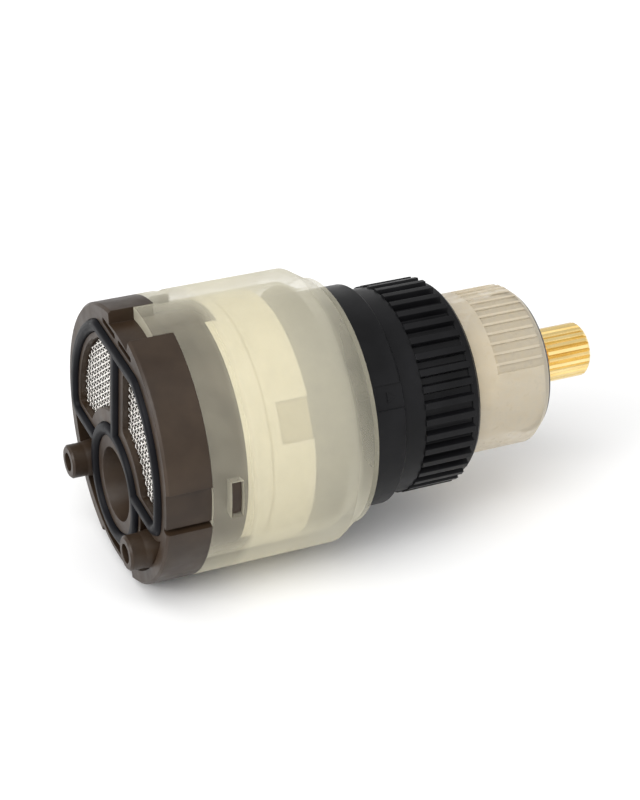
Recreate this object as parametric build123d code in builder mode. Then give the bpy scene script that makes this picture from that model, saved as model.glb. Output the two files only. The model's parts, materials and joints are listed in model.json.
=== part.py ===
"""Coaxial two-control mixing cartridge, lying on its side.

The cartridge axis is +X: the base's sealing face is at x = 0 and the brass spindle ends at the far
end.  The base face, its ports and pegs are turned about that axis by FACE_TURN.
"""
from build123d import *
import math
import os

os.makedirs("parts", exist_ok=True)

# Body and base, millimetres
BODY_R = 20.0
RIM_CHAMFER = 0.35
SHELL_BORE_R = 18.2
INNER_R = 17.9
FACE_TURN = 7.5
BASE_RIM_L = 6.5
BASE_END = 12.4
SEAM_X = 16.2
HOUSING_END = 22.4

# Base face, in the turned face's own u and v
PORT_DEPTH = 0.75
PORT_INSET = 1.75
BAR_MARGIN = 0.8
RING_MARGIN = 1.1
THROAT_END = 10.0
CORNER_R = 2.2
CORNER_MIN_R = 0.4
GROOVE_WALL = 0.8
SCREEN_T = 0.4
SCREEN_LEDGE = 0.7
SCREEN_CLEARANCE = 0.05
GASKET_W = 1.8
GASKET_PROUD = 0.7
GASKET_DEPTH = 1.1
GASKET_CROWN_R = 0.7
GASKET_SLACK = 0.1
INLET_R = 16.8
INLET_TOP = 15.0
INLET_BOTTOM = -4.0
INLET_ARC_ANGLE = 26.0
INLET_CORNER_R = 0.6
OUTLET_V = -6.9
OUTLET_RING_R = 8.1
OUTLET_R = 4.4
OUTLET_MOUTH_R = 5.4
PEG_PLACES = ((-12.1, -9.6), (12.0, -10.4))
PEG_R = 2.5
PEG_ROOT_DRAFT = 8.0
PEG_SHOULDER = 0.8
PEG_HOLE_R = 1.4
PEG_PROUD = 3.0
PEG_ROOT = 0.5
PEG_CHAMFER = 0.3
PEG_HOLE_DEPTH = 4.5
OUTLET_TAPER_L = 3.5
FACE_SLOT_U = 3.1
FACE_SLOT_V = 17.15
FACE_SLOT_L = 5.0
FACE_SLOT_W = 0.8
FACE_SLOT_DEPTH = 1.2
RIM_RECESSES = ((99.0, 22.0, 18.1), (-84.5, 37.0, 18.7), (183.5, 17.0, 19.45), (192.0, 2.0, 18.8))
LUG_R = 19.3
LUG_L = 1.45
LUG_GAP = 0.15
LUG_SLACK = 1.6
TOOTH_ANGLE = -22.5
TOOTH_SPAN = 245.0
TOOTH_BORE_R = 16.6
TOOTH_L = 1.7
TOOTH_CLEARANCE = 0.1
TOOTH_END_SLACK = 0.6
SEAL_DEPTH = 1.0
SEAL_MARGIN = 0.5
SEAL_W = 0.9
HOUSING_SEAL_R = 15.0
HOUSING_SEAL_SECTION = 0.5
NECK_SEAL_R = 14.7
NECK_SEAL_SECTION = 0.45
SEAT_CLEARANCE = 0.1
POCKET_DEPTH = 1.6
POCKET_R = 18.0
CUT_OVERLAP = 0.1
CUT_REACH = 1.0

# Sleeve
CONE_START = 28.0
CONE_END = 31.1
CONE_BORE_START = 27.3
LIP_BORE_START = 30.1
SLEEVE_END = 31.9
LIP_R = 18.0
LIP_BORE_R = 16.6
TAB_START = 3.6
TAB_ANGLE = 99.0
TAB_SPAN = 21.4
WINDOW_START = 9.2
WINDOW_END = 10.95
WINDOW_ANGLES = (183.0, 63.0, -57.0)
WINDOW_SPAN = 15.9

# Neck and ring
NECK_SKIRT_R = 15.6
NECK_SKIRT_BORE_R = 13.8
NECK_FLANGE_R = 16.2
NECK_FOOT_R = 17.6
NECK_FOOT_START = 27.4
NECK_FOOT_END = 27.7
NECK_CONE_END = 29.9
NECK_CHAMFER = 0.4
PANEL_ANGLE = 155.5
PANEL_SPAN = 12.5
PANEL_START = 33.0
PANEL_DEPTH = 0.25
MARK_X = 35.1
MARK_R = 0.8
MARK_ROOT = 0.2
MARK_HEIGHT = 0.15
NECK_FLANGE_END = 37.25
NECK_SHOULDER_X = 32.4
NECK_TUBE_R = 13.5
NECK_TUBE_END = 48.5
RING_START = 37.4
RING_END = 49.85
RING_START_CHAMFER = 0.15
RING_END_CHAMFER = 0.5
RING_LIP_GAP = 0.2
RIBS_START = 40.6
RIBS_END = 48.4
RING_R = 15.1
RIB_R = 15.35
RIB_COUNT = 40
RIB_GROOVE_DEPTH = 1.05
RIB_GROOVE_TOP_W = 1.55
RIB_GROOVE_FLOOR_W = 0.95
RIB_GROOVE_FILLET = 0.15
FLANGE_R = 14.5
RING_MOUTH_R = 12.3

# Collar and spindle
COLLAR_R = 12.0
COLLAR_BORE_R = 12.08
COLLAR_FOOT_X = 29.4
COLLAR_END = 62.75
COLLAR_CHAMFER_START = 61.5
COLLAR_MOUTH_R = 11.0
COLLAR_HALL_R = 10.2
COLLAR_HALL_START = 46.5
COLLAR_FOOT_R = 13.1
COLLAR_FOOT_END = 31.3
COLLAR_SEAL_X = (37.9, 41.9)
COLLAR_SEAL_R = 11.35
COLLAR_SEAL_SECTION = 0.68
COLLAR_SEAT_W = 1.8
COLLAR_SEAT_FLOOR_R = 10.6
HUB_R = 9.5
HUB_END = 36.0
HUB_CLEARANCE = 0.05
BEARING_START = 44.0
BEARING_END = 50.0
BEARING_R = 8.0
BUSH_R = 10.7
BUSH_END = 63.2
BUSH_DEPTH = 2.4
BUSH_CLEARANCE = 0.05
BUSH_CHAMFER = 0.15
SERRATION_START = 54.1
SERRATION_COUNT = 48
SERRATION_FIRST = -48.0
SERRATION_SWEEP = 210.0
SERRATION_DEPTH = 0.3
SERRATION_VALLEY_SHARE = 0.76
SPINDLE_END = 74.1
SPINDLE_CHAMFER = 0.45
SPLINE_START = 66.8
SPLINE_R = 4.05
SPLINE_COUNT = 24
SHAFT_R = 3.4
OUTER_SHAFT_R = 4.2
UNDERCUT_R = 3.5
UNDERCUT_START = 66.3
RUNNING_GAP = 0.07
JOURNAL_R = 6.0
JOURNAL_END = 57.5
SQUARE_W = 4.2
SQUARE_START = 18.4
SQUARE_END = 22.2
SQUARE_CLEARANCE = 0.1
SQUARE_ROOT = 0.2
SPLINE_DEPTH = 0.4
SPLINE_HALF_W = 0.44
SPLINE_OVERCUT = 0.2
SPINDLE_SEAL_X = (31.0, 34.0)
SPINDLE_SEAL_R = 3.1
SPINDLE_SEAL_SECTION = 0.33
SPINDLE_SEAT_W = 0.9
SPINDLE_SEAT_FLOOR_R = 2.75
CLIP_X = 58.0
CLIP_T = 0.8
CLIP_R = 5.7
CLIP_DEPTH = 0.5
CLIP_SLACK = 0.1
CLIP_CLEARANCE = 0.05

# Ceramic discs
DISC_R = 13.4
DISC_HOLE_R = 4.2
TURNING_DISC_R = 12.8
FLOW_DISC_R = 13.0
LOWER_DISC_X = 12.6
DISC_T = 2.8
TURNING_DISC_T = 2.4
DISC_GAP = 0.05
UPPER_DISC_X = 22.2
UPPER_DISC_T = 2.6
UPPER_SEAL_R = 12.6
UPPER_SEAL_SECTION = 0.45
UPPER_SEAT_DEPTH = 0.8
DISC_BORE_R = 13.6
TURNING_BORE_R = 13.2
KEY_R = 12.6
KEY_SPAN = 10.0
KEY_CLEARANCE = 0.1
KEY_END_SLACK = 1.0
KEY_ANGLES = (97.5, -22.5, -142.5)
WINDOW_INNER_R = 6.4
WINDOW_OUTER_R = 11.2
WINDOW_KIDNEY_SPAN = 50.0
DISC_OUTLET_R = 4.8
KIDNEY_ANGLE = 38.0
WEB_START = 20.4
WEB_END = 22.0
WEB_HOLE_R = 5.0
RELIEF_ANGLE = 156.5
RELIEF_SPAN = 19.0
RELIEF_INSET = 1.5
RELIEF_DEPTH = 0.5
SEAM_CHAMFER = 0.25
DRIVER_R = 8.5
DRIVER_HUB_R = 4.4
DRIVE_PIN_U = 4.6
DRIVE_PIN_R = 1.1
DRIVE_PIN_L = 1.4
CARRIER_PIN_U = 9.0
PIN_CLEARANCE = 0.05
PIN_ROOT = 0.5
DRIVER_GAP = 0.2
KEY_ROOT = 0.3
MIXING_SPAN = 70.0
MIXING_INSET = 0.4
FLOW_SPAN = 50.0
CARRIER_R = 13.2
CARRIER_KEY_SPAN = 20.0
CARRIER_KEY_R = 10.5
CARRIER_KEY_GAP = 1.0

# Slip washer
WASHER_START = 31.45
WASHER_END = 32.3
WASHER_BORE_R = 12.2
WASHER_R = 13.6


def face_plane(x):
    """Plane square to the axis at x, its own x and y along the base face's u and v."""
    turn = math.radians(FACE_TURN)
    return Plane(origin=(x, 0, 0), x_dir=(0, math.cos(turn), math.sin(turn)), z_dir=(1, 0, 0))


def angle_plane(x, angle):
    """Plane square to the axis at x, its own x axis at an angle from +Y towards +Z."""
    turn = math.radians(angle)
    return Plane(origin=(x, 0, 0), x_dir=(0, math.cos(turn), math.sin(turn)), z_dir=(1, 0, 0))


def turned_profile(*points):
    """Closed outline of (x, radius) points, to be revolved about the axis."""
    with BuildSketch(Plane.XY) as profile:
        with BuildLine():
            Polyline(*points, close=True)
        make_face()
    return profile.sketch


def ring_section(x, radius, section_r):
    """Round section of an O-ring, to be revolved about the axis."""
    with BuildSketch(Plane.XY) as section:
        with Locations((x, radius)):
            Circle(section_r)
    return section.sketch


def sector_outline(inner_r, outer_r, span):
    """Part of a flat ring, centred on its own x axis."""
    half = math.radians(span / 2)
    near = (inner_r * math.cos(half), inner_r * math.sin(half))
    far = (outer_r * math.cos(half), outer_r * math.sin(half))
    with BuildSketch(Plane.XY) as outline:
        with BuildLine():
            Line((near[0], -near[1]), (far[0], -far[1]))
            ThreePointArc((far[0], -far[1]), (outer_r, 0), far)
            Line(far, near)
            ThreePointArc(near, (inner_r, 0), (near[0], -near[1]))
        make_face()
    return outline.sketch


def sector_at(x, angle, inner_r, outer_r, span):
    """A sector outline set square to the axis at x, centred on an angle."""
    return angle_plane(x, angle) * sector_outline(inner_r, outer_r, span)


def inlet_outline(inset):
    """Outline shared by the gasket's inlet loop and the inlets: a D with a flat top and bottom."""
    radius = INLET_R - inset
    top = INLET_TOP - inset
    bottom = INLET_BOTTOM + inset
    top_u = math.sqrt(radius ** 2 - top ** 2)
    bottom_u = math.sqrt(radius ** 2 - bottom ** 2)
    middle = math.radians(INLET_ARC_ANGLE)
    side = (radius * math.cos(middle), radius * math.sin(middle))
    with BuildSketch(Plane.XY) as outline:
        with BuildLine():
            Line((-top_u, top), (top_u, top))
            ThreePointArc((top_u, top), side, (bottom_u, bottom))
            Line((bottom_u, bottom), (-bottom_u, bottom))
            ThreePointArc((-bottom_u, bottom), (-side[0], side[1]), (-top_u, top))
        make_face()
        fillet(outline.vertices(), max(CORNER_MIN_R, CORNER_R - inset))
    return outline.sketch


def gasket_outline(width):
    """Three joined loops: the inlet loop, its dividing bar and the ring about the outlet."""
    outer = inlet_outline(-width / 2)
    inner = inlet_outline(width / 2)
    with BuildSketch(Plane.XY) as outline:
        add(outer)
        add(inner, mode=Mode.SUBTRACT)
        with Locations((0, INLET_TOP / 2)):
            Rectangle(width, INLET_TOP)
        with Locations((0, OUTLET_V)):
            Circle(OUTLET_RING_R + width / 2)
            Circle(OUTLET_RING_R - width / 2, mode=Mode.SUBTRACT)
    return outline.sketch


def inlet_opening(side, inset):
    """One inlet's opening, clear of the dividing bar and of the outlet's ring."""
    whole = inlet_outline(inset)
    bar_half = inset + BAR_MARGIN
    with BuildSketch(Plane.XY) as opening:
        add(whole)
        with Locations((side * (bar_half - 2 * BODY_R), 0)):
            Rectangle(4 * BODY_R, 4 * BODY_R, mode=Mode.SUBTRACT)
        with Locations((0, OUTLET_V)):
            Circle(OUTLET_RING_R + inset + RING_MARGIN, mode=Mode.SUBTRACT)
        by_bar = opening.vertices().sort_by(lambda corner: abs(corner.X))[:2]
        by_ring = opening.vertices().group_by(Axis.Y)[0].sort_by(lambda corner: abs(corner.X))[0]
        fillet([*by_bar, by_ring], INLET_CORNER_R)
    return opening.sketch


def port_windows(grow):
    """The disc windows on the turned face: two kidneys for the inlets and a round one for the outlet."""
    span = WINDOW_KIDNEY_SPAN + 2 * math.degrees(grow / WINDOW_OUTER_R)
    kidney = sector_outline(WINDOW_INNER_R - grow, WINDOW_OUTER_R + grow, span)
    with BuildSketch(Plane.XY) as windows:
        add(kidney.rotate(Axis.Z, KIDNEY_ANGLE))
        add(kidney.rotate(Axis.Z, 180 - KIDNEY_ANGLE))
        with Locations((0, OUTLET_V)):
            Circle(DISC_OUTLET_R + grow)
    return windows.sketch


def seal_seat(end_x, depth, radius, section_r):
    """Square groove for an O-ring in a face square to the axis, to be revolved about the axis."""
    inner_r = radius - section_r - SEAT_CLEARANCE
    outer_r = radius + section_r + SEAT_CLEARANCE
    floor_x = end_x - depth
    return turned_profile((floor_x, inner_r), (end_x, inner_r), (end_x, outer_r), (floor_x, outer_r))


def around(count, shape):
    """Copies of a flat shape evenly spaced about the axis, joined."""
    with BuildSketch(Plane.XY) as ring:
        with PolarLocations(0, count):
            add(shape)
    return ring.sketch


def export(built, label):
    """Name a finished piece and write it."""
    built.part.label = label
    export_step(built.part, f"parts/{label}.step")


# ---- base: the brown moulding that carries the ports, screens, gasket and pegs ----
base_blank = turned_profile(
    (0, 0),
    (0, BODY_R - RIM_CHAMFER),
    (RIM_CHAMFER, BODY_R),
    (BASE_RIM_L, BODY_R),
    (BASE_RIM_L, INNER_R),
    (BASE_END, INNER_R),
    (BASE_END, 0),
)
gasket_wall = inlet_outline(-GASKET_W / 2 - GROOVE_WALL)
gasket_groove = gasket_outline(GASKET_W + GASKET_SLACK)
inlet_cuts = [inlet_opening(side, PORT_INSET) for side in (-1, 1)]
inlet_throats = [inlet_opening(side, PORT_INSET + SCREEN_LEDGE) for side in (-1, 1)]
disc_windows = port_windows(0)
housing_groove = seal_seat(BASE_END, 2 * HOUSING_SEAL_SECTION, HOUSING_SEAL_R, HOUSING_SEAL_SECTION)
seal_plane = face_plane(BASE_END - SEAL_DEPTH)
seal_channel = seal_plane * port_windows(SEAL_MARGIN + SEAL_W + SEAT_CLEARANCE)
seal_channel -= seal_plane * port_windows(SEAL_MARGIN - SEAT_CLEARANCE)

with BuildPart() as base:
    revolve(base_blank, axis=Axis.X)
    for angle, span, floor_r in RIM_RECESSES:
        extrude(sector_at(0, angle, floor_r, BODY_R + CUT_REACH, span), amount=BASE_RIM_L, mode=Mode.SUBTRACT)
    with BuildSketch(face_plane(0)):
        Circle(POCKET_R)
        add(gasket_wall, mode=Mode.SUBTRACT)
        with Locations((0, OUTLET_V)):
            Circle(OUTLET_RING_R + GASKET_W / 2 + GROOVE_WALL, mode=Mode.SUBTRACT)
        with Locations((0, BODY_R + INLET_BOTTOM)):
            Rectangle(4 * BODY_R, 2 * BODY_R, mode=Mode.SUBTRACT)
    extrude(amount=POCKET_DEPTH, mode=Mode.SUBTRACT)
    for opening in inlet_cuts:
        extrude(face_plane(0) * opening, amount=PORT_DEPTH + SCREEN_T, mode=Mode.SUBTRACT)
    for throat in inlet_throats:
        extrude(face_plane(0) * throat, amount=THROAT_END, mode=Mode.SUBTRACT)
    extrude(face_plane(THROAT_END - CUT_OVERLAP) * disc_windows, amount=BASE_END, mode=Mode.SUBTRACT)
    extrude(face_plane(0) * gasket_groove, amount=GASKET_DEPTH, mode=Mode.SUBTRACT)
    with BuildSketch(face_plane(0)):
        with Locations((0, OUTLET_V)):
            Circle(OUTLET_MOUTH_R)
    with BuildSketch(face_plane(OUTLET_TAPER_L)):
        with Locations((0, OUTLET_V)):
            Circle(OUTLET_R)
    loft(mode=Mode.SUBTRACT)
    with BuildSketch(face_plane(0)):
        with Locations((0, OUTLET_V)):
            Circle(OUTLET_R)
    extrude(amount=BASE_END, mode=Mode.SUBTRACT)
    with BuildSketch(face_plane(0)):
        with Locations((-FACE_SLOT_U, FACE_SLOT_V), (FACE_SLOT_U, FACE_SLOT_V)):
            SlotOverall(FACE_SLOT_L, FACE_SLOT_W)
    extrude(amount=FACE_SLOT_DEPTH, mode=Mode.SUBTRACT)
    with BuildSketch(face_plane(-PEG_PROUD)):
        with Locations(*PEG_PLACES):
            Circle(PEG_R)
    extrude(amount=PEG_PROUD)
    with BuildSketch(face_plane(-PEG_SHOULDER)):
        with Locations(*PEG_PLACES):
            Circle(PEG_R)
    extrude(amount=PEG_SHOULDER + POCKET_DEPTH + PEG_ROOT, taper=-PEG_ROOT_DRAFT)
    peg_tips = base.faces().group_by(Axis.X)[0].edges()
    chamfer(peg_tips, PEG_CHAMFER)
    with BuildSketch(face_plane(-PEG_PROUD)):
        with Locations(*PEG_PLACES):
            Circle(PEG_HOLE_R)
    extrude(amount=PEG_HOLE_DEPTH, mode=Mode.SUBTRACT)
    for angle in WINDOW_ANGLES:
        lug = sector_at(WINDOW_START + LUG_GAP, angle, INNER_R - CUT_REACH, LUG_R, WINDOW_SPAN - LUG_SLACK)
        extrude(lug, amount=LUG_L)
    extrude(sector_at(BASE_END, TOOTH_ANGLE, TOOTH_BORE_R, INNER_R, TOOTH_SPAN), amount=TOOTH_L)
    revolve(housing_groove, axis=Axis.X, mode=Mode.SUBTRACT)
    extrude(seal_channel, amount=SEAL_DEPTH, mode=Mode.SUBTRACT)
export(base, "base")

# ---- port gasket: one black moulding with three loops, proud of the face ----
with BuildPart() as port_gasket:
    extrude(face_plane(-GASKET_PROUD) * gasket_outline(GASKET_W), amount=GASKET_PROUD + GASKET_DEPTH)
    crown = port_gasket.faces().group_by(Axis.X)[0].edges()
    fillet(crown, GASKET_CROWN_R)
export(port_gasket, "port_gasket")


# ---- inlet screens: flat outlines of the woven strainers ----
def build_screen(side, label):
    """One strainer on its ledge inside the inlet."""
    with BuildPart() as screen:
        extrude(face_plane(PORT_DEPTH) * inlet_opening(side, PORT_INSET + SCREEN_CLEARANCE), amount=SCREEN_T)
    export(screen, label)


build_screen(1, "inlet_screen_left")
build_screen(-1, "inlet_screen_right")

# ---- sleeve: frosted outer shell ----
sleeve_profile = turned_profile(
    (BASE_RIM_L, SHELL_BORE_R),
    (BASE_RIM_L, BODY_R),
    (CONE_START, BODY_R),
    (CONE_END, LIP_R),
    (SLEEVE_END, LIP_R),
    (SLEEVE_END, LIP_BORE_R),
    (LIP_BORE_START, LIP_BORE_R),
    (CONE_BORE_START, SHELL_BORE_R),
)
with BuildPart() as sleeve:
    revolve(sleeve_profile, axis=Axis.X)
    tab = sector_at(TAB_START, TAB_ANGLE, SHELL_BORE_R, BODY_R, TAB_SPAN)
    extrude(tab, amount=BASE_RIM_L - TAB_START + CUT_REACH)
    for angle in WINDOW_ANGLES:
        window = sector_at(WINDOW_START, angle, INNER_R - CUT_REACH, BODY_R + CUT_REACH, WINDOW_SPAN)
        extrude(window, amount=WINDOW_END - WINDOW_START, mode=Mode.SUBTRACT)
export(sleeve, "sleeve")

# ---- lower housing: cream ring about the lower discs ----
lower_ring = turned_profile(
    (BASE_END, DISC_BORE_R),
    (BASE_END, INNER_R),
    (SEAM_X, INNER_R),
    (SEAM_X, DISC_BORE_R),
)
with BuildPart() as lower_housing:
    revolve(lower_ring, axis=Axis.X)
    notch_r = TOOTH_BORE_R - TOOTH_CLEARANCE
    notch = sector_at(BASE_END, TOOTH_ANGLE, notch_r, BODY_R, TOOTH_SPAN + TOOTH_END_SLACK)
    extrude(notch, amount=TOOTH_L + TOOTH_CLEARANCE, mode=Mode.SUBTRACT)
    for angle in KEY_ANGLES:
        extrude(sector_at(BASE_END, angle, KEY_R, DISC_BORE_R + KEY_ROOT, KEY_SPAN), amount=DISC_T)
    seam_edges = lower_housing.edges().filter_by(GeomType.CIRCLE).group_by(Axis.X)[-1]
    chamfer(seam_edges.sort_by(SortBy.RADIUS)[-1], SEAM_CHAMFER)
export(lower_housing, "lower_housing")

# ---- upper housing: cream ring with the web that carries the upper discs ----
upper_profile = turned_profile(
    (SEAM_X, TURNING_BORE_R),
    (SEAM_X, INNER_R),
    (HOUSING_END, INNER_R),
    (HOUSING_END, NECK_SKIRT_BORE_R),
    (WEB_END, NECK_SKIRT_BORE_R),
    (WEB_END, WEB_HOLE_R),
    (WEB_START, WEB_HOLE_R),
    (WEB_START, TURNING_BORE_R),
)
web_windows = port_windows(0)
neck_seal_groove = seal_seat(HOUSING_END, 2 * NECK_SEAL_SECTION, NECK_SEAL_R, NECK_SEAL_SECTION)
web_seal_groove = seal_seat(WEB_END, UPPER_SEAT_DEPTH, UPPER_SEAL_R, UPPER_SEAL_SECTION)
with BuildPart() as upper_housing:
    revolve(upper_profile, axis=Axis.X)
    extrude(face_plane(WEB_START) * web_windows, amount=WEB_END - WEB_START, mode=Mode.SUBTRACT)
    revolve(neck_seal_groove, axis=Axis.X, mode=Mode.SUBTRACT)
    revolve(web_seal_groove, axis=Axis.X, mode=Mode.SUBTRACT)
    relief = sector_at(SEAM_X + RELIEF_INSET, RELIEF_ANGLE, INNER_R - RELIEF_DEPTH, BODY_R, RELIEF_SPAN)
    extrude(relief, amount=HOUSING_END - SEAM_X, mode=Mode.SUBTRACT)
    seam_edges = upper_housing.edges().filter_by(GeomType.CIRCLE).group_by(Axis.X)[0]
    chamfer(seam_edges.sort_by(SortBy.RADIUS)[-1], SEAM_CHAMFER)
export(upper_housing, "upper_housing")

# ---- seals ----
seal_loops = seal_plane * port_windows(SEAL_MARGIN + SEAL_W)
seal_loops -= seal_plane * port_windows(SEAL_MARGIN)
with BuildPart() as lower_disc_seal:
    extrude(seal_loops, amount=LOWER_DISC_X - BASE_END + SEAL_DEPTH)
export(lower_disc_seal, "lower_disc_seal")

with BuildPart() as upper_disc_seal:
    revolve(ring_section(UPPER_DISC_X - UPPER_SEAL_SECTION, UPPER_SEAL_R, UPPER_SEAL_SECTION), axis=Axis.X)
export(upper_disc_seal, "upper_disc_seal")

with BuildPart() as housing_seal:
    revolve(ring_section(BASE_END - HOUSING_SEAL_SECTION, HOUSING_SEAL_R, HOUSING_SEAL_SECTION), axis=Axis.X)
export(housing_seal, "housing_seal")

with BuildPart() as neck_seal:
    revolve(ring_section(HOUSING_END - NECK_SEAL_SECTION, NECK_SEAL_R, NECK_SEAL_SECTION), axis=Axis.X)
export(neck_seal, "neck_seal")

with BuildPart() as collar_seals:
    for x in COLLAR_SEAL_X:
        revolve(ring_section(x, COLLAR_SEAL_R, COLLAR_SEAL_SECTION), axis=Axis.X)
export(collar_seals, "collar_seals")

with BuildPart() as spindle_seals:
    for x in SPINDLE_SEAL_X:
        revolve(ring_section(x, SPINDLE_SEAL_R, SPINDLE_SEAL_SECTION), axis=Axis.X)
export(spindle_seals, "spindle_seals")


# ---- ceramic discs ----
with BuildPart() as lower_fixed_disc:
    with BuildSketch(face_plane(LOWER_DISC_X)):
        Circle(DISC_R)
        add(disc_windows, mode=Mode.SUBTRACT)
    extrude(amount=DISC_T)
    for angle in KEY_ANGLES:
        notch = sector_at(LOWER_DISC_X, angle, KEY_R - KEY_CLEARANCE, BODY_R, KEY_SPAN + KEY_END_SLACK)
        extrude(notch, amount=DISC_T, mode=Mode.SUBTRACT)
export(lower_fixed_disc, "lower_fixed_disc")

mixing_x = LOWER_DISC_X + DISC_T + DISC_GAP
mixing_window = sector_outline(WINDOW_INNER_R + MIXING_INSET, WINDOW_OUTER_R - MIXING_INSET, MIXING_SPAN)
with BuildPart() as mixing_disc:
    with BuildSketch(face_plane(mixing_x)):
        Circle(TURNING_DISC_R)
        add(mixing_window.rotate(Axis.Z, 90), mode=Mode.SUBTRACT)
        add(mixing_window.rotate(Axis.Z, 270), mode=Mode.SUBTRACT)
        with Locations((-DRIVE_PIN_U, 0), (DRIVE_PIN_U, 0)):
            Circle(DRIVE_PIN_R + PIN_CLEARANCE, mode=Mode.SUBTRACT)
    extrude(amount=TURNING_DISC_T)
export(mixing_disc, "mixing_disc")

with BuildPart() as upper_fixed_disc:
    with BuildSketch(face_plane(UPPER_DISC_X)):
        Circle(DISC_R)
        Circle(DISC_HOLE_R, mode=Mode.SUBTRACT)
        add(disc_windows, mode=Mode.SUBTRACT)
    extrude(amount=UPPER_DISC_T)
export(upper_fixed_disc, "upper_fixed_disc")

flow_x = UPPER_DISC_X + UPPER_DISC_T + DISC_GAP
flow_window = sector_outline(WINDOW_INNER_R, WINDOW_OUTER_R, FLOW_SPAN)
with BuildPart() as flow_disc:
    with BuildSketch(face_plane(flow_x)):
        Circle(FLOW_DISC_R)
        Circle(DISC_HOLE_R, mode=Mode.SUBTRACT)
        add(flow_window.rotate(Axis.Z, 90), mode=Mode.SUBTRACT)
        add(flow_window.rotate(Axis.Z, 270), mode=Mode.SUBTRACT)
        with Locations((-CARRIER_PIN_U, 0), (CARRIER_PIN_U, 0)):
            Circle(DRIVE_PIN_R + PIN_CLEARANCE, mode=Mode.SUBTRACT)
    extrude(amount=TURNING_DISC_T)
export(flow_disc, "flow_disc")

# ---- spindle driver: turns the mixing disc with the spindle's square end ----
driver_x = mixing_x + TURNING_DISC_T
with BuildPart() as spindle_driver:
    with BuildSketch(face_plane(driver_x)):
        Circle(DRIVER_R)
    extrude(amount=WEB_START - DRIVER_GAP - driver_x)
    with BuildSketch(face_plane(driver_x)):
        Circle(DRIVER_HUB_R)
    extrude(amount=WEB_END - driver_x)
    with BuildSketch(face_plane(driver_x - DRIVE_PIN_L)):
        with Locations((-DRIVE_PIN_U, 0), (DRIVE_PIN_U, 0)):
            Circle(DRIVE_PIN_R)
    extrude(amount=DRIVE_PIN_L + PIN_ROOT)
    with BuildSketch(face_plane(SQUARE_START - SQUARE_CLEARANCE)):
        Rectangle(SQUARE_W + SQUARE_CLEARANCE, SQUARE_W + SQUARE_CLEARANCE)
    extrude(amount=WEB_END, mode=Mode.SUBTRACT)
export(spindle_driver, "spindle_driver")

# ---- disc carrier: turns the flow disc with the collar ----
carrier_x = flow_x + TURNING_DISC_T
carrier_bore_r = SHAFT_R + RUNNING_GAP
carrier_profile = turned_profile(
    (carrier_x, carrier_bore_r),
    (carrier_x, CARRIER_R),
    (COLLAR_FOOT_X, CARRIER_R),
    (COLLAR_FOOT_X, HUB_R),
    (HUB_END, HUB_R),
    (HUB_END, carrier_bore_r),
)
with BuildPart() as disc_carrier:
    revolve(carrier_profile, axis=Axis.X)
    for angle in (0, 180):
        key = sector_at(COLLAR_FOOT_X, angle, HUB_R - KEY_ROOT, CARRIER_KEY_R, CARRIER_KEY_SPAN)
        extrude(key, amount=HUB_END - COLLAR_FOOT_X - CARRIER_KEY_GAP)
    with BuildSketch(face_plane(carrier_x - DRIVE_PIN_L)):
        with Locations((-CARRIER_PIN_U, 0), (CARRIER_PIN_U, 0)):
            Circle(DRIVE_PIN_R)
    extrude(amount=DRIVE_PIN_L + PIN_ROOT)
export(disc_carrier, "disc_carrier")

# ---- neck: black bonnet held under the sleeve's cone ----
neck_profile = turned_profile(
    (HOUSING_END, NECK_SKIRT_BORE_R),
    (HOUSING_END, NECK_SKIRT_R),
    (NECK_FOOT_START, NECK_SKIRT_R),
    (NECK_FOOT_START, NECK_FOOT_R),
    (NECK_FOOT_END, NECK_FOOT_R),
    (NECK_CONE_END, NECK_FLANGE_R),
    (NECK_FLANGE_END - NECK_CHAMFER, NECK_FLANGE_R),
    (NECK_FLANGE_END, NECK_FLANGE_R - NECK_CHAMFER),
    (NECK_FLANGE_END, NECK_TUBE_R),
    (NECK_TUBE_END, NECK_TUBE_R),
    (NECK_TUBE_END, COLLAR_BORE_R),
    (NECK_SHOULDER_X, COLLAR_BORE_R),
    (NECK_SHOULDER_X, NECK_SKIRT_BORE_R),
)
panel_floor_r = NECK_FLANGE_R - PANEL_DEPTH
mark_angle = math.radians(PANEL_ANGLE)
mark_plane = Plane(
    origin=(MARK_X, panel_floor_r * math.cos(mark_angle), panel_floor_r * math.sin(mark_angle)),
    x_dir=(1, 0, 0),
    z_dir=(0, math.cos(mark_angle), math.sin(mark_angle)),
)
with BuildPart() as neck:
    revolve(neck_profile, axis=Axis.X)
    panel = sector_at(PANEL_START, PANEL_ANGLE, panel_floor_r, BODY_R, PANEL_SPAN)
    extrude(panel, amount=NECK_FLANGE_END - PANEL_START, mode=Mode.SUBTRACT)
    with BuildSketch(mark_plane.offset(-MARK_ROOT)):
        RegularPolygon(radius=MARK_R, side_count=3)
    extrude(amount=MARK_ROOT + MARK_HEIGHT)
export(neck, "neck")

washer_profile = turned_profile(
    (WASHER_START, WASHER_BORE_R),
    (WASHER_START, WASHER_R),
    (WASHER_END, WASHER_R),
    (WASHER_END, WASHER_BORE_R),
)
with BuildPart() as slip_washer:
    revolve(washer_profile, axis=Axis.X)
export(slip_washer, "slip_washer")

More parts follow.
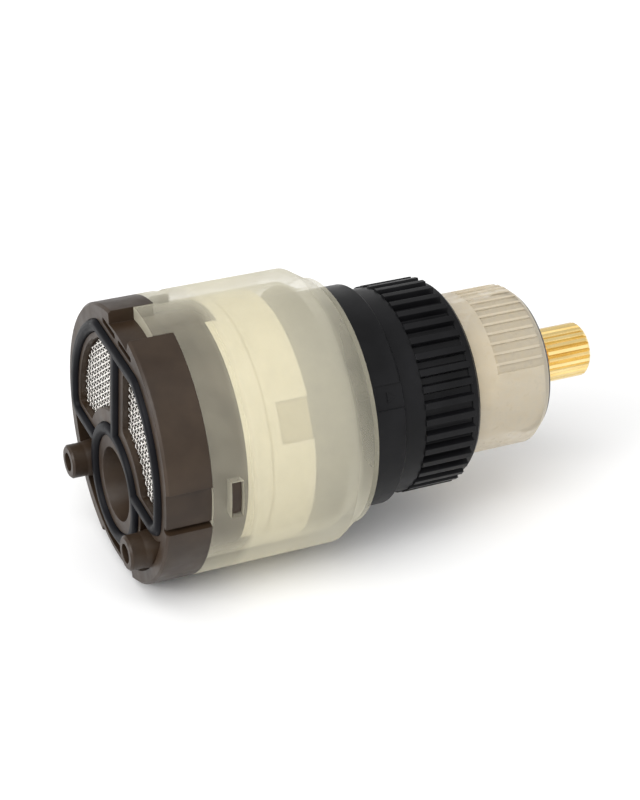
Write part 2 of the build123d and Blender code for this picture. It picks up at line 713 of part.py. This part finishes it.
# ---- index ring: coarse ribs for the fingers and a plain end flange ----
ring_profile = turned_profile(
    (RING_START, NECK_TUBE_R + RUNNING_GAP),
    (RING_START, RING_R - RING_START_CHAMFER),
    (RING_START + RING_START_CHAMFER, RING_R),
    (RIBS_START, RING_R),
    (RIBS_START, RIB_R),
    (RIBS_END, RIB_R),
    (RIBS_END, FLANGE_R),
    (RING_END - RING_END_CHAMFER, FLANGE_R),
    (RING_END, FLANGE_R - RING_END_CHAMFER),
    (RING_END, RING_MOUTH_R),
    (NECK_TUBE_END + RING_LIP_GAP, RING_MOUTH_R),
    (NECK_TUBE_END + RING_LIP_GAP, NECK_TUBE_R + RUNNING_GAP),
)
with BuildSketch(Plane.XY) as rib_groove:
    with BuildLine():
        Polyline(
            (RIB_R - RIB_GROOVE_DEPTH, -RIB_GROOVE_FLOOR_W / 2),
            (RIB_R + CUT_OVERLAP, -RIB_GROOVE_TOP_W / 2),
            (RIB_R + CUT_OVERLAP, RIB_GROOVE_TOP_W / 2),
            (RIB_R - RIB_GROOVE_DEPTH, RIB_GROOVE_FLOOR_W / 2),
            close=True,
        )
    make_face()
    fillet(rib_groove.vertices().sort_by(Axis.X)[:2], RIB_GROOVE_FILLET)
with BuildPart() as index_ring:
    revolve(ring_profile, axis=Axis.X)
    extrude(
        face_plane(RIBS_START) * around(RIB_COUNT, rib_groove.sketch),
        amount=RIBS_END - RIBS_START,
        mode=Mode.SUBTRACT,
    )
export(index_ring, "index_ring")

# ---- control collar: translucent outer control with a fine outside serration ----
collar_profile = turned_profile(
    (COLLAR_FOOT_X, HUB_R + HUB_CLEARANCE),
    (COLLAR_FOOT_X, COLLAR_FOOT_R),
    (COLLAR_FOOT_END, COLLAR_FOOT_R),
    (COLLAR_FOOT_END, COLLAR_R),
    (COLLAR_CHAMFER_START, COLLAR_R),
    (COLLAR_END, COLLAR_MOUTH_R),
    (COLLAR_END, COLLAR_HALL_R),
    (COLLAR_HALL_START, COLLAR_HALL_R),
    (COLLAR_HALL_START, BEARING_R),
    (BEARING_END, BEARING_R),
    (BEARING_END, JOURNAL_R + RUNNING_GAP),
    (BEARING_START, JOURNAL_R + RUNNING_GAP),
    (BEARING_START, HUB_R + HUB_CLEARANCE),
)
collar_valley = sector_outline(
    COLLAR_R - SERRATION_DEPTH, COLLAR_R + CUT_REACH, 360 / SERRATION_COUNT * SERRATION_VALLEY_SHARE
)
valley_count = int(SERRATION_SWEEP * SERRATION_COUNT / 360)
with BuildPart() as control_collar:
    revolve(collar_profile, axis=Axis.X)
    with BuildSketch(angle_plane(SERRATION_START, SERRATION_FIRST)):
        for step in range(valley_count):
            add(collar_valley.rotate(Axis.Z, step * 360 / SERRATION_COUNT))
    extrude(amount=COLLAR_END, mode=Mode.SUBTRACT)
    for angle in (0, 180):
        slot_r = CARRIER_KEY_R + KEY_CLEARANCE
        slot = sector_at(COLLAR_FOOT_X, angle, HUB_R, slot_r, CARRIER_KEY_SPAN + KEY_END_SLACK)
        extrude(slot, amount=HUB_END - COLLAR_FOOT_X, mode=Mode.SUBTRACT)
    for x in COLLAR_SEAL_X:
        with BuildSketch(Plane.XY):
            with Locations((x, COLLAR_R)):
                Rectangle(COLLAR_SEAT_W, 2 * (COLLAR_R - COLLAR_SEAT_FLOOR_R))
        revolve(axis=Axis.X, mode=Mode.SUBTRACT)
export(control_collar, "control_collar")

# ---- end bush: grey disc that closes the collar's mouth ----
bush_profile = turned_profile(
    (COLLAR_END - BUSH_DEPTH, OUTER_SHAFT_R + RUNNING_GAP),
    (COLLAR_END - BUSH_DEPTH, COLLAR_HALL_R - BUSH_CLEARANCE),
    (COLLAR_END, COLLAR_HALL_R - BUSH_CLEARANCE),
    (COLLAR_END, BUSH_R),
    (BUSH_END - BUSH_CHAMFER, BUSH_R),
    (BUSH_END, BUSH_R - BUSH_CHAMFER),
    (BUSH_END, OUTER_SHAFT_R + RUNNING_GAP),
)
with BuildPart() as end_bush:
    revolve(bush_profile, axis=Axis.X)
export(end_bush, "end_bush")

# ---- spindle: brass, square at the inside end and splined at the outside end ----
spindle_profile = turned_profile(
    (SQUARE_END, 0),
    (SQUARE_END, SHAFT_R),
    (BEARING_START, SHAFT_R),
    (BEARING_START, JOURNAL_R),
    (JOURNAL_END, JOURNAL_R),
    (JOURNAL_END, OUTER_SHAFT_R),
    (UNDERCUT_START, OUTER_SHAFT_R),
    (UNDERCUT_START, UNDERCUT_R),
    (SPLINE_START, UNDERCUT_R),
    (SPLINE_START, SPLINE_R),
    (SPINDLE_END - SPINDLE_CHAMFER, SPLINE_R),
    (SPINDLE_END, SPLINE_R - SPINDLE_CHAMFER),
    (SPINDLE_END, 0),
)
with BuildSketch(Plane.XY) as spline_groove:
    with BuildLine():
        Polyline(
            (SPLINE_R - SPLINE_DEPTH, 0),
            (SPLINE_R + SPLINE_OVERCUT, SPLINE_HALF_W),
            (SPLINE_R + SPLINE_OVERCUT, -SPLINE_HALF_W),
            close=True,
        )
    make_face()
with BuildPart() as spindle:
    revolve(spindle_profile, axis=Axis.X)
    with BuildSketch(face_plane(SQUARE_START)):
        Rectangle(SQUARE_W, SQUARE_W)
    extrude(amount=SQUARE_END - SQUARE_START + SQUARE_ROOT)
    extrude(
        face_plane(SPLINE_START) * around(SPLINE_COUNT, spline_groove.sketch),
        amount=SPINDLE_END - SPLINE_START,
        mode=Mode.SUBTRACT,
    )
    for x in SPINDLE_SEAL_X:
        with BuildSketch(Plane.XY):
            with Locations((x, SHAFT_R)):
                Rectangle(SPINDLE_SEAT_W, 2 * (SHAFT_R - SPINDLE_SEAT_FLOOR_R))
        revolve(axis=Axis.X, mode=Mode.SUBTRACT)
    with BuildSketch(Plane.XY):
        with Locations((CLIP_X + CLIP_T / 2, OUTER_SHAFT_R)):
            Rectangle(CLIP_T + CLIP_SLACK, 2 * CLIP_DEPTH)
    revolve(axis=Axis.X, mode=Mode.SUBTRACT)
export(spindle, "spindle")

clip_bore_r = OUTER_SHAFT_R - CLIP_DEPTH + CLIP_CLEARANCE
with BuildPart() as spindle_clip:
    with BuildSketch(face_plane(CLIP_X)):
        Circle(CLIP_R)
        Circle(clip_bore_r, mode=Mode.SUBTRACT)
        with Locations((0, -CLIP_R)):
            Rectangle(clip_bore_r * math.sqrt(3), 2 * CLIP_R, mode=Mode.SUBTRACT)
    extrude(amount=CLIP_T)
export(spindle_clip, "spindle_clip")
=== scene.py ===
"""Looks, floor, light and camera for the coaxial valve cartridge. Metres, in the CAD frame."""
import json
import math
import bmesh
import bpy
from mathutils import Matrix, Vector
from mathutils.bvhtree import BVHTree


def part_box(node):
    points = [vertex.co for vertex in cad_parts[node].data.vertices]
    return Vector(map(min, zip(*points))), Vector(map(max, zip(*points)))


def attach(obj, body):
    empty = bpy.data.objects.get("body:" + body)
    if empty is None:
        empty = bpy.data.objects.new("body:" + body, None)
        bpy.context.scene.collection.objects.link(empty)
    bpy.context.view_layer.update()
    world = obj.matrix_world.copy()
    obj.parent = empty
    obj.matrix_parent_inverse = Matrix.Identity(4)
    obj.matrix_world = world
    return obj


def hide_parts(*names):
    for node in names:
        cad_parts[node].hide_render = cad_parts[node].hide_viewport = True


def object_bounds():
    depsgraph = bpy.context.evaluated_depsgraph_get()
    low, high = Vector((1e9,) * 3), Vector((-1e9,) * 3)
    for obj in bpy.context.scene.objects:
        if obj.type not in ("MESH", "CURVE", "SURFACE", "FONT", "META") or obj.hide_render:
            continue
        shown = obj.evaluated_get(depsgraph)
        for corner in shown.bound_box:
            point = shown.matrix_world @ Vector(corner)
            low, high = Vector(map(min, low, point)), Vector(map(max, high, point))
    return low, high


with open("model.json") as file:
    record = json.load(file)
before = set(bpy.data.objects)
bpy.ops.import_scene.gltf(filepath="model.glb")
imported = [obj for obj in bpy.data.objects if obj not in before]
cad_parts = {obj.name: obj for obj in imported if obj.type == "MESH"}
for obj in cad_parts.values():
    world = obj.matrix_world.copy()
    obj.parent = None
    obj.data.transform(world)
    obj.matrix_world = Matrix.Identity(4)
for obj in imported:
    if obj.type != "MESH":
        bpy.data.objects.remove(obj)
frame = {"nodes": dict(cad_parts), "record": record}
cad_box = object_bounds()
nodes = frame["nodes"]
MM = 0.001
X_AXIS = Vector((1, 0, 0))

# Noise scales are in cycles per metre.
MOTTLE = 160
BLOTCH = 420
MOULD_GRAIN = 2200
NOISE_MIDDLE = (0.3, 0.7)
MOULD_RELIEF = 6e-6
MOULD_EDGE = 0.15 * MM

TOOL_TINT = 900
TOOL_GLOSS = 2500
TOOL_MARK = 5000
TOOL_RELIEF = 4e-6
METAL_EDGE = 0.08 * MM

# Colour multiplied into the recess floors: painted shade in the recesses.
RECESS_SHADE = (0.62, 0.58, 0.46)

FROST_GLOSS = 700
FROST_GRAIN = 2600
FROST_RELIEF = 2e-6
GLOW = 0.22
WALL_SHARE = 0.06
WETTING_REACH = 64 * MM
GRAZING_START = 0.45
GRAZING_CLEARNESS = 0.25


# ---------------------------------------------------------------- node helpers
class Shader:
    """One node material, with short calls for the nodes that the finishes share."""

    def __init__(self, name):
        self.material = bpy.data.materials.new(name)
        self.material.use_nodes = True
        self.tree = self.material.node_tree
        self.tree.nodes.clear()
        self.output = self.tree.nodes.new("ShaderNodeOutputMaterial")
        self.coords = self.tree.nodes.new("ShaderNodeTexCoord").outputs["Object"]

    def node(self, kind, **values):
        """A node with its settings and unlinked inputs filled in."""
        made = self.tree.nodes.new(kind)
        for key, value in values.items():
            if key in made.inputs:
                made.inputs[key].default_value = value
            else:
                setattr(made, key, value)
        return made

    def link(self, source, target):
        self.tree.links.new(source, target)

    def axes(self):
        """The X, Y and Z of the point being shaded, in the object's own space."""
        split = self.node("ShaderNodeSeparateXYZ")
        self.link(self.coords, split.inputs["Vector"])
        return split.outputs

    def noise(self, scale, detail=3.0, stretch=(1, 1, 1)):
        """Noise over the object's own space; scale is in cycles per metre."""
        mapping = self.node("ShaderNodeMapping", Scale=stretch)
        self.link(self.coords, mapping.inputs["Vector"])
        texture = self.node("ShaderNodeTexNoise", Scale=scale, Detail=detail, Roughness=0.55)
        self.link(mapping.outputs["Vector"], texture.inputs["Vector"])
        return texture.outputs["Fac"]

    def ramp(self, source, low, high, start=NOISE_MIDDLE[0], end=NOISE_MIDDLE[1]):
        """Colour that runs from low to high as source runs from start to end."""
        made = self.node("ShaderNodeValToRGB")
        made.color_ramp.elements[0].position = start
        made.color_ramp.elements[0].color = (*low, 1)
        made.color_ramp.elements[1].position = end
        made.color_ramp.elements[1].color = (*high, 1)
        self.link(source, made.inputs["Fac"])
        return made.outputs["Color"]

    def remap(self, source, start, end, low, high):
        """Value that runs from low to high as source runs from start to end."""
        ends = {"From Min": start, "From Max": end, "To Min": low, "To Max": high}
        made = self.node("ShaderNodeMapRange", **ends)
        self.link(source, made.inputs["Value"])
        return made.outputs["Result"]

    def spread(self, source, low, high):
        """Value that runs from low to high as a noise runs over its usual middle."""
        return self.remap(source, *NOISE_MIDDLE, low, high)

    def combine(self, operation, first, second):
        """Sum or product of two values."""
        made = self.node("ShaderNodeMath", operation=operation)
        self.link(first, made.inputs[0])
        self.link(second, made.inputs[1])
        return made.outputs["Value"]

    def radius(self, near, far, low, high):
        """Value from low to high as the distance from the axis runs from near to far, in mm."""
        place = self.axes()
        section = self.node("ShaderNodeCombineXYZ")
        self.link(place["Y"], section.inputs["Y"])
        self.link(place["Z"], section.inputs["Z"])
        length = self.node("ShaderNodeVectorMath", operation="LENGTH")
        self.link(section.outputs["Vector"], length.inputs[0])
        return self.remap(length.outputs["Value"], near * MM, far * MM, low, high)

    def normal(self, source, depth, edge=0.0):
        """Fine surface relief of a depth in metres, over edges softened by a small radius."""
        bump = self.node("ShaderNodeBump", Strength=1.0, Distance=depth)
        self.link(source, bump.inputs["Height"])
        if edge:
            soft = self.node("ShaderNodeBevel", samples=4, Radius=edge)
            self.link(soft.outputs["Normal"], bump.inputs["Normal"])
        return bump.outputs["Normal"]

    def surface(self, color, roughness, normal, **values):
        """A Principled shader; colour and roughness vary over the surface."""
        made = self.node("ShaderNodeBsdfPrincipled", **values)
        self.link(color, made.inputs["Base Color"])
        self.link(roughness, made.inputs["Roughness"])
        self.link(normal, made.inputs["Normal"])
        return made.outputs["BSDF"]

    def mix(self, first, second, share):
        """Two shaders mixed; share is a number or an output, and 1 is all second."""
        made = self.node("ShaderNodeMixShader")
        if isinstance(share, float):
            made.inputs["Fac"].default_value = share
        else:
            self.link(share, made.inputs["Fac"])
        self.link(first, made.inputs[1])
        self.link(second, made.inputs[2])
        return made.outputs["Shader"]

    def close(self, shader):
        self.link(shader, self.output.inputs["Surface"])
        return self.material


def moulded(name, low, high, rough, gloss=0.5):
    """A satin moulded plastic or rubber with mottled colour and a fine grain."""
    paint = Shader(name)
    color = paint.ramp(paint.noise(MOTTLE), low, high)
    roughness = paint.spread(paint.noise(BLOTCH, 4), *rough)
    normal = paint.normal(paint.noise(MOULD_GRAIN, 4), MOULD_RELIEF, MOULD_EDGE)
    values = {"Specular IOR Level": gloss}
    return paint.close(paint.surface(color, roughness, normal, **values))


def moulded_with_painted_recess_shade(name, low, high, rough, floor_r, top_r):
    """A satin moulding whose recesses, from top_r down to floor_r, carry painted shade: their
    colour is darker than its outside.
    """
    paint = Shader(name)
    mottle = paint.ramp(paint.noise(MOTTLE), low, high)
    # Painted shade: the colour darkens from top_r down to floor_r, by distance from the axis.
    shade = paint.ramp(paint.radius(floor_r, top_r, 0, 1), RECESS_SHADE, (1, 1, 1), 0, 1)
    color = paint.node("ShaderNodeMixRGB", blend_type="MULTIPLY", Fac=1)
    paint.link(mottle, color.inputs["Color1"])
    paint.link(shade, color.inputs["Color2"])
    roughness = paint.spread(paint.noise(BLOTCH, 4), *rough)
    normal = paint.normal(paint.noise(MOULD_GRAIN, 4), MOULD_RELIEF, MOULD_EDGE)
    return paint.close(paint.surface(color.outputs["Color"], roughness, normal))


def metal(name, low, high, rough, stretch=(1, 1, 1)):
    """A metal with tool marks drawn out along one direction."""
    paint = Shader(name)
    color = paint.ramp(paint.noise(TOOL_TINT, 3, stretch), low, high)
    roughness = paint.spread(paint.noise(TOOL_GLOSS, 4, stretch), *rough)
    normal = paint.normal(paint.noise(TOOL_MARK, 3, stretch), TOOL_RELIEF, METAL_EDGE)
    return paint.close(paint.surface(color, roughness, normal, Metallic=1.0))


def grip_share(paint, wetting):
    """Clear share added along X where the moulding grips the piece inside it."""
    grip = paint.node("ShaderNodeValToRGB")
    steps = grip.color_ramp.elements
    while len(steps) < len(wetting):
        steps.new(0.5)
    for step, (place, share) in zip(steps, wetting):
        step.position = place * MM / WETTING_REACH
        step.color = (share, share, share, 1)
    paint.link(paint.remap(paint.axes()["X"], 0, WETTING_REACH, 0, 1), grip.inputs["Fac"])
    return grip.outputs["Color"]


def frosted(name, low, high, clear, rough, wetting, valley_r, ridge_r, grain):
    """A milky translucent moulding: part of the light passes straight, part is scattered.

    It is clearer where it grips the piece inside it: wetting lists (x in mm, added clear share).
    It is denser from valley_r out to ridge_r, where the wall is thicker, and towards grazing
    angles, where a line of sight runs through more of the wall.
    """
    paint = Shader(name)
    cloud = paint.noise(grain, 5)
    color = paint.ramp(cloud, low, high)
    roughness = paint.spread(paint.noise(FROST_GLOSS, 4), *rough)
    skin = paint.surface(color, roughness, paint.normal(paint.noise(FROST_GRAIN, 4), FROST_RELIEF))
    scatter = paint.node("ShaderNodeBsdfTranslucent")
    paint.link(color, scatter.inputs["Color"])
    milk = paint.mix(skin, scatter.outputs["BSDF"], GLOW)

    wall = paint.radius(valley_r, ridge_r, WALL_SHARE, -WALL_SHARE)
    share = paint.combine("ADD", paint.spread(cloud, *clear), wall)
    share = paint.combine("ADD", share, grip_share(paint, wetting))
    facing = paint.node("ShaderNodeLayerWeight", Blend=0.5).outputs["Facing"]
    thinness = paint.remap(facing, GRAZING_START, 1, 1, GRAZING_CLEARNESS)
    share = paint.combine("MULTIPLY", share, thinness)
    through = paint.node("ShaderNodeBsdfTransparent").outputs["BSDF"]
    return paint.close(paint.mix(milk, through, share))


# ---------------------------------------------------------------- finishes
SHELL_WETTING = ((6, 0.24), (11.5, 0.24), (13, 0), (22, 0), (27.5, 0.03), (29, 0.14), (32, 0.14))
COLLAR_WETTING = ((50, 0.1), (53, 0), (56, 0.04), (62, 0.08))
DRAWN_ALONG_X = (0.15, 1, 1)

# Each finish has its darkest and lightest colour, its range of roughness, and then its gloss
# or the stretch of its tool marks, where it has one of its own.
MOULDED = {
    "base_plastic": ((0.021, 0.012, 0.0065), (0.038, 0.0235, 0.0135), (0.34, 0.48), 0.3),
    "black_rubber": ((0.003, 0.003, 0.004), (0.006, 0.006, 0.008), (0.36, 0.46), 0.08),
    "white_ceramic": ((0.80, 0.80, 0.78), (0.86, 0.86, 0.85), (0.15, 0.25)),
    "black_plastic": ((0.004, 0.004, 0.0045), (0.008, 0.008, 0.009), (0.3, 0.42), 0.14),
    "slip_plastic": ((0.72, 0.72, 0.69), (0.80, 0.80, 0.77), (0.4, 0.5)),
    "grey_plastic": ((0.05, 0.052, 0.06), (0.075, 0.078, 0.09), (0.35, 0.45), 0.3),
}
METAL = {
    "woven_steel": ((0.80, 0.77, 0.72), (0.94, 0.92, 0.88), (0.2, 0.32)),
    "brass": ((0.84, 0.60, 0.23), (0.95, 0.75, 0.36), (0.14, 0.3), DRAWN_ALONG_X),
    "spring_steel": ((0.42, 0.42, 0.44), (0.58, 0.58, 0.60), (0.28, 0.4)),
}
FINISH = {name: moulded(name, *look) for name, look in MOULDED.items()}
FINISH.update({name: metal(name, *look) for name, look in METAL.items()})
FINISH["cream_plastic"] = moulded_with_painted_recess_shade(
    "cream_plastic",
    low=(0.74, 0.68, 0.48),
    high=(0.80, 0.74, 0.54),
    rough=(0.4, 0.5),
    floor_r=17.4,
    top_r=17.88,
)
FINISH["frosted_shell"] = frosted(
    "frosted_shell",
    low=(0.69, 0.65, 0.505),
    high=(0.77, 0.73, 0.58),
    clear=(0.58, 0.66),
    rough=(0.42, 0.55),
    wetting=SHELL_WETTING,
    valley_r=18.3,
    ridge_r=19.9,
    grain=260,
)
FINISH["frosted_collar"] = frosted(
    "frosted_collar",
    low=(0.62, 0.54, 0.40),
    high=(0.84, 0.76, 0.61),
    clear=(0.26, 0.48),
    rough=(0.25, 0.4),
    wetting=COLLAR_WETTING,
    valley_r=11.75,
    ridge_r=11.95,
    grain=1100,
)
for part in frame["record"]["subparts"]:
    cad = nodes[part["node"]]
    cad.data.materials.clear()
    cad.data.materials.append(FINISH[part["material_slot"]])


# ---------------------------------------------------------------- woven strainers
WEAVE_ANGLE = math.radians(147)
WIRE_PITCH = 0.75 * MM
STRAIGHT_WIRE_R = 0.16 * MM
WAVY_WIRE_R = 0.055 * MM
WAVE_HEIGHT = 0.14 * MM
WIRE_SIDES = 6
STEPS_PER_PITCH = 4
FEWEST_POINTS = 4


def tube(mesh, points, radius):
    """A closed round tube through the points, which run square to X apart from small steps."""
    rings = []
    for index, point in enumerate(points):
        before = points[max(index - 1, 0)]
        after = points[min(index + 1, len(points) - 1)]
        along = (after - before).normalized()
        across = along.cross(X_AXIS).normalized()
        over = across.cross(along)
        ring = []
        for side in range(WIRE_SIDES):
            turn = 2 * math.pi * side / WIRE_SIDES
            offset = radius * (math.cos(turn) * across + math.sin(turn) * over)
            ring.append(mesh.verts.new(point + offset))
        rings.append(ring)
    for first, second in zip(rings, rings[1:]):
        for side in range(WIRE_SIDES):
            other = (side + 1) % WIRE_SIDES
            mesh.faces.new((first[side], first[other], second[other], second[side]))
    mesh.faces.new(tuple(reversed(rings[0])))
    mesh.faces.new(tuple(rings[-1]))


def woven_screen(node):
    """Real crossing wires in place of the flat strainer, cut to the strainer's own outline."""
    low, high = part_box(node)
    middle = (low + high) / 2
    plate = nodes[node].data
    corners = [vertex.co.copy() for vertex in plate.vertices]
    outline = BVHTree.FromPolygons(corners, [face.vertices[:] for face in plate.polygons])
    reach = (high - low).length / 2
    count = int(reach / WIRE_PITCH)
    last_step = STEPS_PER_PITCH * count
    mesh = bmesh.new()
    wires = (
        (WEAVE_ANGLE, STRAIGHT_WIRE_R, 0),
        (WEAVE_ANGLE + math.pi / 2, WAVY_WIRE_R, WAVE_HEIGHT),
    )
    for angle, wire_r, wave_height in wires:
        along = Vector((0, math.cos(angle), math.sin(angle)))
        across = Vector((0, -math.sin(angle), math.cos(angle)))
        for row in range(-count, count + 1):
            run = []
            for step in range(-last_step, last_step + 1):
                travel = step * WIRE_PITCH / STEPS_PER_PITCH
                wave = math.cos(math.pi * (step / STEPS_PER_PITCH + row)) * wave_height
                place = middle + along * travel + across * (row * WIRE_PITCH)
                hit = outline.ray_cast(place - reach * X_AXIS, X_AXIS)
                inside = hit[0] is not None
                if inside:
                    run.append(place + Vector((wave, 0, 0)))
                if (not inside or step == last_step) and run:
                    if len(run) >= FEWEST_POINTS:
                        tube(mesh, run, wire_r)
                    run = []
    data = bpy.data.meshes.new(node + "_weave")
    mesh.to_mesh(data)
    mesh.free()
    data.shade_smooth()
    piece = bpy.data.objects.new(node + "_weave", data)
    bpy.context.scene.collection.objects.link(piece)
    data.materials.append(FINISH["woven_steel"])
    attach(piece, "housing")
    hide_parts(node)


woven_screen("inlet_screen_left")
woven_screen("inlet_screen_right")


# ---------------------------------------------------------------- floor
FLOOR_HALF = 3.0
FLOOR_MIDDLE_X = 0.03
PAPER_TINT = 8
PAPER_GLOSS = 60
PAPER_GRAIN = 900
PAPER_RELIEF = 2e-6

floor_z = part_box("sleeve")[0].z
bpy.ops.mesh.primitive_plane_add(size=2 * FLOOR_HALF, location=(FLOOR_MIDDLE_X, 0, floor_z))
floor = bpy.context.object
floor.name = "floor"
paper = Shader("floor_paper")
paper_color = paper.ramp(paper.noise(PAPER_TINT), (0.90, 0.90, 0.90), (0.92, 0.92, 0.92))
paper_rough = paper.spread(paper.noise(PAPER_GLOSS), 0.7, 0.8)
paper_normal = paper.normal(paper.noise(PAPER_GRAIN), PAPER_RELIEF)
floor.data.materials.append(paper.close(paper.surface(paper_color, paper_rough, paper_normal)))


# ---------------------------------------------------------------- light
# Each light has its place from the cartridge's middle, its width and height, and its watts.
LIGHTS = {
    "softbox": ((-0.5, -0.65, 1.15), (1.2, 1.2), 11.5),
    "left_card": ((-1.1, -0.25, 0.5), (0.7, 0.5), 8.0),
    "front_card": ((0.9, -0.95, 0.6), (1.2, 0.8), 1.5),
}
WORLD_STRENGTH = 0.75


def area_light(name, place, aim, size, power):
    """A soft rectangular light that looks at a point."""
    data = bpy.data.lights.new(name, "AREA")
    data.shape = "RECTANGLE"
    data.size, data.size_y = size
    data.energy = power
    lamp = bpy.data.objects.new(name, data)
    lamp.location = place
    lamp.rotation_mode = "QUATERNION"
    lamp.rotation_quaternion = (aim - place).to_track_quat("-Z", "Y")
    bpy.context.scene.collection.objects.link(lamp)


centre = (cad_box[0] + cad_box[1]) / 2
for name, (offset, size, power) in LIGHTS.items():
    area_light(name, centre + Vector(offset), centre, size, power)

world = bpy.data.worlds.new("studio")
bpy.context.scene.world = world
world.use_nodes = True
world.node_tree.nodes["Background"].inputs["Color"].default_value = (1, 1, 1, 1)
world.node_tree.nodes["Background"].inputs["Strength"].default_value = WORLD_STRENGTH


# ---------------------------------------------------------------- camera
CAMERA_AZIMUTH = math.radians(-24.53)
CAMERA_ELEVATION = math.radians(27.03)
CAMERA_PLACE = (-85.0 * MM, -254.5 * MM, 143.0 * MM)
SENSOR_WIDTH_MM = 36.0
LENS_MM = 98.05
CLIP_NEAR = 0.01
CLIP_FAR = 20.0

camera_data = bpy.data.cameras.new("camera")
camera_data.sensor_width = SENSOR_WIDTH_MM
camera_data.lens = LENS_MM
camera_data.clip_start = CLIP_NEAR
camera_data.clip_end = CLIP_FAR
camera = bpy.data.objects.new("camera", camera_data)
back = Vector(
    (
        math.sin(CAMERA_AZIMUTH) * math.cos(CAMERA_ELEVATION),
        -math.cos(CAMERA_AZIMUTH) * math.cos(CAMERA_ELEVATION),
        math.sin(CAMERA_ELEVATION),
    )
)
right = Vector((math.cos(CAMERA_AZIMUTH), math.sin(CAMERA_AZIMUTH), 0))
up = back.cross(right)
turned = Matrix((right, up, back)).transposed().to_4x4()
camera.matrix_world = Matrix.Translation(CAMERA_PLACE) @ turned
bpy.context.scene.collection.objects.link(camera)
bpy.context.scene.camera = camera
bpy.context.scene.view_settings.view_transform = "Standard"
